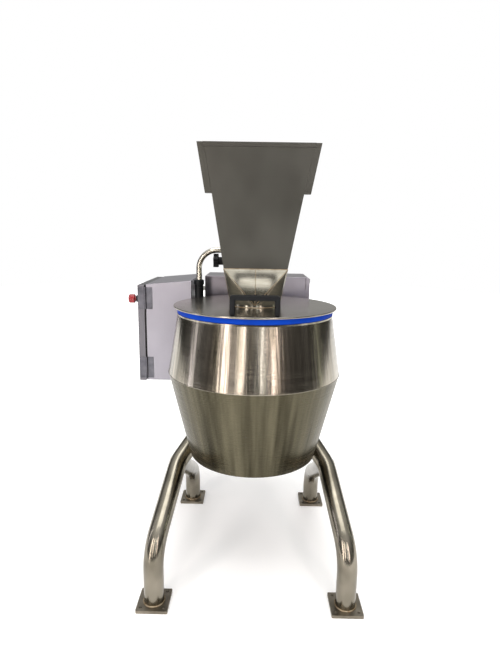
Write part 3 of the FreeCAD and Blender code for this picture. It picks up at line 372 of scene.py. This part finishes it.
# azimuth is measured from the camera's side, to the right; tall strips give the drum its upright bands
strips = {
    "stripFarLeft": {"azimuth": -84, "wide": 0.30, "tall": 2.6, "watts": 10, "up": 1.5, "tint": "#f6f4ff"},
    "stripLeft": {"azimuth": -38, "wide": 0.36, "tall": 2.6, "watts": 40, "up": 1.5, "tint": "#fff4f1"},
    "stripFrontLeft": {"azimuth": -16, "wide": 0.34, "tall": 2.4, "watts": 24, "up": 1.9, "tint": "#fff6f2"},
    "stripFront": {"azimuth": 10, "wide": 0.16, "tall": 2.4, "watts": 12, "up": 1.9, "tint": "#ffffff"},
    "stripFrontRight": {"azimuth": 25, "wide": 0.26, "tall": 2.4, "watts": 24, "up": 1.9, "tint": "#fff0ee"},
    "stripRight": {"azimuth": 92, "wide": 0.12, "tall": 2.6, "watts": 4, "up": 1.5, "tint": "#fbffee"},
    "panelBehind": {"azimuth": 180, "wide": 3.4, "tall": 1.5, "watts": 5, "up": 1.9, "tint": "#fbfaf6"},
}
aimPoint = Vector((0.0885, -0.132, 0.95))
for name, strip in strips.items():
    turn = math.radians(strip["azimuth"])
    stand = aimPoint + Vector((math.sin(turn), -math.cos(turn), 0)) * 3.6
    stand.z = strip["up"]
    bpy.ops.object.light_add(type="AREA", location=stand)
    lamp = bpy.context.object
    lamp.name = name
    lamp.data.shape = "RECTANGLE"
    lamp.data.size, lamp.data.size_y = strip["wide"], strip["tall"]
    lamp.data.energy = strip["watts"]
    lamp.data.color = linearColour(strip["tint"])[:3]
    lamp.rotation_euler = (aimPoint - stand).to_track_quat("-Z", "Y").to_euler()
    lamp.visible_camera = False
overhead = {"place": (0.1, -0.3, 4.2), "side": 3.0, "watts": 95}
bpy.ops.object.light_add(type="AREA", location=overhead["place"])
softbox = bpy.context.object
softbox.name = "softboxOverhead"
softbox.data.size = overhead["side"]
softbox.data.energy = overhead["watts"]
softbox.visible_camera = False
bpy.context.scene.view_settings.view_transform = "Standard"
print("studio done")


# modelling by hand: select in code, shape with operators, then settle the piece on its body

def only(piece):
    if bpy.context.object and bpy.context.object.mode != "OBJECT":
        bpy.ops.object.mode_set(mode="OBJECT")
    bpy.ops.object.select_all(action="DESELECT")
    piece.select_set(True)
    bpy.context.view_layer.objects.active = piece


def openFaces(piece, wanted):
    # leaves the piece in edit mode with just the wanted faces selected
    only(piece)
    bpy.ops.object.mode_set(mode="EDIT")
    bpy.ops.mesh.select_mode(type="FACE")
    bpy.ops.mesh.select_all(action="DESELECT")
    bpy.ops.object.mode_set(mode="OBJECT")
    for face in piece.data.polygons:
        face.select = wanted(face.center, face.normal)
    bpy.ops.object.mode_set(mode="EDIT")


def roundEdges(piece, width, segments=3, angle=35):
    only(piece)
    bevel = piece.modifiers.new("roundedEdges", "BEVEL")
    bevel.width = width
    bevel.segments = segments
    bevel.limit_method = "ANGLE"
    bevel.angle_limit = math.radians(angle)
    bpy.ops.object.modifier_apply(modifier=bevel.name)
    bpy.ops.object.shade_smooth_by_angle(angle=math.radians(angle))
    flat = piece.modifiers.new("flatFaces", "WEIGHTED_NORMAL")  # wide faces stay flat beside a rounded edge
    flat.weight = 100
    flat.keep_sharp = True
    bpy.ops.object.modifier_apply(modifier=flat.name)


def settle(piece, name, finish, body, slotName, *replaced):
    only(piece)
    bpy.ops.object.transform_apply(location=True, rotation=True, scale=True)
    piece.name = name
    piece.data.name = name
    coat(piece, finish)
    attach(piece, body)
    if replaced:
        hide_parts(*replaced)
    return piece


def roundedCopy(nodeName, name, width, segments=3):
    # the same shape with its sharp edges broken, as folding and deburring leave them
    only(nodes[nodeName])
    bpy.ops.object.duplicate()
    piece = bpy.context.object
    piece.parent = None
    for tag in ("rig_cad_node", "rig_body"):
        del piece[tag]
    bpy.ops.object.mode_set(mode="EDIT")
    bpy.ops.mesh.select_all(action="SELECT")
    bpy.ops.mesh.remove_doubles(threshold=0.00002)
    bpy.ops.mesh.dissolve_limited(angle_limit=math.radians(1))
    bpy.ops.object.mode_set(mode="OBJECT")
    roundEdges(piece, width, segments)
    slotName = nodeSlot[nodeName]
    finish = paintedShadeFinish.get(nodeName, slotFinish[slotName])
    return settle(piece, name, finish, nodeBody[nodeName], slotName, nodeName)


# folded and deburred sheet and plate: edge radius in metres
foldedEdges = {
    "control_box": ("controlBox", 0.006), "control_box_door": ("controlBoxDoor", 0.003),
    "foot_plates": ("footPlates", 0.0015), "lid_plate": ("lidPlate", 0.002),
    "housing_shell": ("housingShell", 0.003), "housing_side_cover": ("housingSideCover", 0.003),
    "front_channels": ("hopperChannels", 0.0008), "arm_clamp": ("armClampBlock", 0.0015),
    "clamp_knob": ("clampKnob", 0.0025), "arm_bushing": ("armBushing", 0.0015),
    "stop_collar": ("stopCollar", 0.0015), "door_latch": ("doorLatch", 0.001),
}
for nodeName, (pieceName, edgeRadius) in foldedEdges.items():
    roundedCopy(nodeName, pieceName, edgeRadius)
print("folded edges done:", len(foldedEdges))

# lid gasket: a rounded square section spun round the drum's axis
gasket = {"wide": 0.016, "cornerRound": 0.005, "roundSteps": 4, "steps": 144}
low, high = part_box("lid_gasket")
outer = (high.x - low.x) / 2
inner = outer - gasket["wide"]
tall = high.z - low.z
bpy.ops.mesh.primitive_plane_add(size=1, rotation=(math.pi / 2, 0, 0), scale=(1, 1, 1),
                                 location=(drumAxis.x + (outer + inner) / 2, drumAxis.y, low.z + tall / 2))
section = bpy.context.object
section.scale = (outer - inner, tall, 1)
only(section)
bpy.ops.object.transform_apply(location=True, rotation=True, scale=True)
bpy.ops.object.mode_set(mode="EDIT")
bpy.ops.mesh.select_all(action="SELECT")
bpy.ops.mesh.bevel(offset=gasket["cornerRound"], segments=gasket["roundSteps"], affect="VERTICES")
bpy.ops.mesh.select_all(action="SELECT")
bpy.ops.mesh.delete(type="ONLY_FACE")
bpy.ops.mesh.select_all(action="SELECT")
bpy.ops.mesh.spin(steps=gasket["steps"], angle=2 * math.pi, center=drumAxis, axis=(0, 0, 1))
bpy.ops.mesh.select_all(action="SELECT")
bpy.ops.mesh.remove_doubles(threshold=0.00005)
bpy.ops.mesh.normals_make_consistent(inside=False)
bpy.ops.object.mode_set(mode="OBJECT")
bpy.ops.object.shade_smooth_by_angle(angle=math.radians(50))
settle(section, "lidGasket", "siliconeRubberBlue", "frame", "gasket_blue", "lid_gasket")

# lid handle: a bridge of square section, its feet standing on the lid
handle = {"thick": 0.0195, "footFlare": 1.25, "footTall": 0.010, "cornerRound": 0.012, "edgeRound": 0.005}
low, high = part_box("lid_handle")
thick = handle["thick"]
bpy.ops.mesh.primitive_cube_add(size=thick, location=(low.x + thick / 2, (low.y + high.y) / 2,
                                                      high.z - thick / 2))
bridge = bpy.context.object
only(bridge)
bpy.ops.object.transform_apply(location=True, rotation=True, scale=True)
reach = high.x - low.x - 2 * thick
openFaces(bridge, lambda centre, normal: normal.x > 0.9)
bpy.ops.mesh.extrude_region_move(TRANSFORM_OT_translate={"value": (reach, 0, 0)})
bpy.ops.mesh.extrude_region_move(TRANSFORM_OT_translate={"value": (thick, 0, 0)})
openFaces(bridge, lambda centre, normal: normal.z < -0.9 and abs(centre.x - (low.x + high.x) / 2) > reach / 2)
legDrop = low.z - high.z + thick + handle["footTall"]
bpy.ops.mesh.extrude_region_move(TRANSFORM_OT_translate={"value": (0, 0, legDrop)})
bpy.ops.mesh.extrude_region_move(TRANSFORM_OT_translate={"value": (0, 0, -handle["footTall"])})
bpy.ops.object.mode_set(mode="OBJECT")
only(bridge)
bpy.ops.object.mode_set(mode="EDIT")
bpy.ops.mesh.select_mode(type="EDGE")
bpy.ops.mesh.select_all(action="DESELECT")
bpy.ops.object.mode_set(mode="OBJECT")
for edge in bridge.data.edges:
    ends = [bridge.data.vertices[i].co for i in edge.vertices]
    along = ends[1] - ends[0]
    fromMiddle = [abs(e.x - (low.x + high.x) / 2) for e in ends]
    outerCorner = all(abs(e.z - high.z) < 1e-5 and abs(far - (high.x - low.x) / 2) < 1e-5
                      for e, far in zip(ends, fromMiddle))
    edge.select = outerCorner and abs(along.y) > abs(along.x)
bpy.ops.object.mode_set(mode="EDIT")
bpy.ops.mesh.bevel(offset=handle["cornerRound"], segments=5, affect="EDGES")
bpy.ops.object.mode_set(mode="OBJECT")
roundEdges(bridge, handle["edgeRound"], 4, 40)
settle(bridge, "lidHandle", "mouldedNylonBlack", "lid", "black_plastic", "lid_handle")

# swivel head: a moulded cap, its top well rounded, over a narrower neck
cap = {"topRound": 0.009, "neckTall": 0.012, "neckShrink": 0.86, "sides": 48}
low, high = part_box("swivel_head")
radius = (high.x - low.x) / 2
bpy.ops.mesh.primitive_cylinder_add(vertices=cap["sides"], radius=radius,
                                    depth=high.z - low.z - cap["neckTall"],
                                    location=((low.x + high.x) / 2, (low.y + high.y) / 2,
                                              (high.z + low.z + cap["neckTall"]) / 2))
head = bpy.context.object
openFaces(head, lambda centre, normal: normal.z < -0.9)
bpy.ops.mesh.inset(thickness=radius * (1 - cap["neckShrink"]))
bpy.ops.mesh.extrude_region_move(TRANSFORM_OT_translate={"value": (0, 0, -cap["neckTall"])})
openFaces(head, lambda centre, normal: normal.z > 0.9)
bpy.ops.mesh.bevel(offset=cap["topRound"], segments=7, affect="EDGES")
bpy.ops.object.mode_set(mode="OBJECT")
roundEdges(head, 0.001, 2, 60)
settle(head, "swivelHead", "mouldedNylonBlack", "lift", "black_plastic", "swivel_head")

# stop button: a mushroom head with a rounded rim
low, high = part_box("stop_button")
button = {"headRadius": 0.021, "headThick": 0.028, "stemRadius": 0.011, "headRound": 0.006, "sides": 48}
bpy.ops.mesh.primitive_cylinder_add(vertices=button["sides"], radius=button["headRadius"],
                                    depth=button["headThick"],
                                    location=(low.x + button["headThick"] / 2, (low.y + high.y) / 2,
                                              (low.z + high.z) / 2), rotation=(0, math.pi / 2, 0))
mushroom = bpy.context.object
only(mushroom)
bpy.ops.object.transform_apply(location=True, rotation=True, scale=True)
openFaces(mushroom, lambda centre, normal: normal.x > 0.9)
bpy.ops.mesh.inset(thickness=button["headRadius"] - button["stemRadius"])
stemLong = high.x - low.x - button["headThick"]
bpy.ops.mesh.extrude_region_move(TRANSFORM_OT_translate={"value": (stemLong, 0, 0)})
openFaces(mushroom, lambda centre, normal: normal.x < -0.9)
bpy.ops.mesh.bevel(offset=button["headRound"], segments=6, affect="EDGES")
bpy.ops.object.mode_set(mode="OBJECT")
roundEdges(mushroom, 0.0008, 2, 50)
settle(mushroom, "stopButton", "mouldedAbsRed", "stop", "stop_red", "stop_button")
print("black and red mouldings done")


# weld beads: rings of even ripples

def weldRing(name, place, ringRadius, beadRadius, body, slotName, ripples, finish="weldedStainless"):
    bpy.ops.mesh.primitive_torus_add(location=place, major_radius=ringRadius, minor_radius=beadRadius,
                                     major_segments=ripples * 2, minor_segments=10)
    ring = bpy.context.object
    only(ring)
    bpy.ops.object.mode_set(mode="EDIT")
    bpy.ops.mesh.select_mode(type="VERT")
    bpy.ops.mesh.select_all(action="DESELECT")
    bpy.ops.object.mode_set(mode="OBJECT")
    for number, vertex in enumerate(ring.data.vertices):
        vertex.select = (number // 10) % 2 == 0
    bpy.ops.object.mode_set(mode="EDIT")
    bpy.ops.transform.shrink_fatten(value=-beadRadius * 0.08)
    bpy.ops.object.mode_set(mode="OBJECT")
    bpy.ops.object.shade_smooth()
    return settle(ring, name, finish, body, slotName)


legPlaces = {"FrontLeft": (-0.366, -0.378), "FrontRight": (0.366, -0.378),
             "RearLeft": (-0.314, 0.378), "RearRight": (0.314, 0.378)}
for legName, (across, back) in legPlaces.items():
    weldRing("footWeld" + legName, (drumAxis.x + across, drumAxis.y + back, 0.0125), 0.0395, 0.0032, "frame",
             "leg_steel", 44)
weldRing("drumBeltWeld", (drumAxis.x, drumAxis.y, 0.833), 0.3585, 0.0014, "frame", "drum_steel", 300,
         "brushedStainlessDrum")
weldRing("neckWeld", (drumAxis.x, drumAxis.y, 1.1085), 0.1045, 0.0022, "lid", "neck_steel", 160)


def seamBead(name, points, beadRadius, body, slotName, closed, finish):
    curve = bpy.data.curves.new(name, "CURVE")
    curve.dimensions = "3D"
    line = curve.splines.new("POLY")
    line.points.add(len(points) - 1)
    for spot, point in zip(line.points, points):
        spot.co = (*point, 1)
    line.use_cyclic_u = closed
    curve.bevel_depth = beadRadius
    curve.bevel_resolution = 3
    curve.use_fill_caps = True
    bead = bpy.data.objects.new(name, curve)
    bpy.context.scene.collection.objects.link(bead)
    only(bead)
    bpy.ops.object.convert(target="MESH")
    bead = bpy.context.object
    bpy.ops.object.shade_smooth_by_angle(angle=math.radians(50))
    return settle(bead, name, finish, body, slotName)


seam = {"half": 0.1232, "height": 1.262, "bead": 0.0016,
        "frontBead": 0.0011, "creaseBead": 0.0012, "neckRadius": 0.104, "neckTop": 1.118}
corners = [(drumAxis.x + a * seam["half"], drumAxis.y + b * seam["half"], seam["height"])
           for a, b in ((-1, -1), (1, -1), (1, 1), (-1, 1))]
seamBead("hopperSeamWeld", corners, seam["bead"], "lid", "neck_steel", True, "weldedStainless")
for side, name in ((-1, "neckFrontWeld"), (1, "neckRearWeld")):
    line = [(drumAxis.x, drumAxis.y + side * seam["half"], seam["height"] - 0.002),
            (drumAxis.x, drumAxis.y + side * seam["neckRadius"], seam["neckTop"])]
    seamBead(name, line, seam["frontBead"], "lid", "neck_steel", False, "weldedStainless")
corner = seam["half"]
for number, (across, back) in enumerate(((0, -1), (1, 0), (0, 1), (-1, 0))):
    foot = Vector((across, back, 0)) * seam["neckRadius"] + drumAxis
    for side in (-1, 1):
        shoulder = Vector((across or side, back or side, 0)) * corner + drumAxis
        seamBead("neckCrease%d%s" % (number + 1, "Right" if side > 0 else "Left"),
                 [(shoulder.x, shoulder.y, seam["height"] - 0.001), (foot.x, foot.y, seam["neckTop"])],
                 seam["creaseBead"], "lid", "neck_steel", False, "weldedStainless")
print("welds done")


# button-head screws on the motor housing's covers

screwSizes = {"radius": 0.006, "tall": 0.0032, "socket": 0.003, "socketDeep": 0.0016,
              "round": 0.0014, "edge": 0.016}


def buttonScrew(place, turn):
    bpy.ops.mesh.primitive_cylinder_add(vertices=24, radius=screwSizes["radius"], depth=screwSizes["tall"],
                                        location=(0, 0, screwSizes["tall"] / 2))
    screw = bpy.context.object
    only(screw)
    bpy.ops.object.transform_apply(location=True, rotation=True, scale=True)
    openFaces(screw, lambda centre, normal: normal.z > 0.9)
    bpy.ops.mesh.bevel(offset=screwSizes["round"], segments=3, affect="EDGES")
    openFaces(screw, lambda centre, normal: normal.z > 0.99)
    bpy.ops.mesh.inset(thickness=screwSizes["radius"] - screwSizes["round"] - screwSizes["socket"])
    bpy.ops.mesh.extrude_region_move(TRANSFORM_OT_translate={"value": (0, 0, -screwSizes["socketDeep"])})
    bpy.ops.object.mode_set(mode="OBJECT")
    bpy.ops.object.shade_smooth_by_angle(angle=math.radians(35))
    screw.rotation_euler = turn
    screw.location = place
    return screw


def joinScrews(name, places, turn):
    screws = [buttonScrew(place, turn) for place in places]
    only(screws[0])
    for screw in screws:
        screw.select_set(True)
    bpy.ops.object.join()
    return settle(bpy.context.object, name, "turnedSteel", "frame", "machined_steel")


edge = screwSizes["edge"]
low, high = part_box("housing_back_cover")
backPlaces = [(x, high.y, z) for x in (low.x + edge, (low.x + high.x) / 2, high.x - edge)
              for z in (low.z + edge, (low.z + high.z) / 2, high.z - edge) if x != (low.x + high.x) / 2
              or z != (low.z + high.z) / 2]
joinScrews("backCoverScrews", backPlaces, (-math.pi / 2, 0, 0))
low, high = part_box("housing_side_cover")
sidePlaces = [(high.x, y, z) for y in (low.y + 2 * edge, high.y - 2 * edge)
              for z in (low.z + 2 * edge, (low.z + high.z) / 2, high.z - 3 * edge)]
joinScrews("sideCoverScrews", sidePlaces, (0, math.pi / 2, 0))
print("screws done")
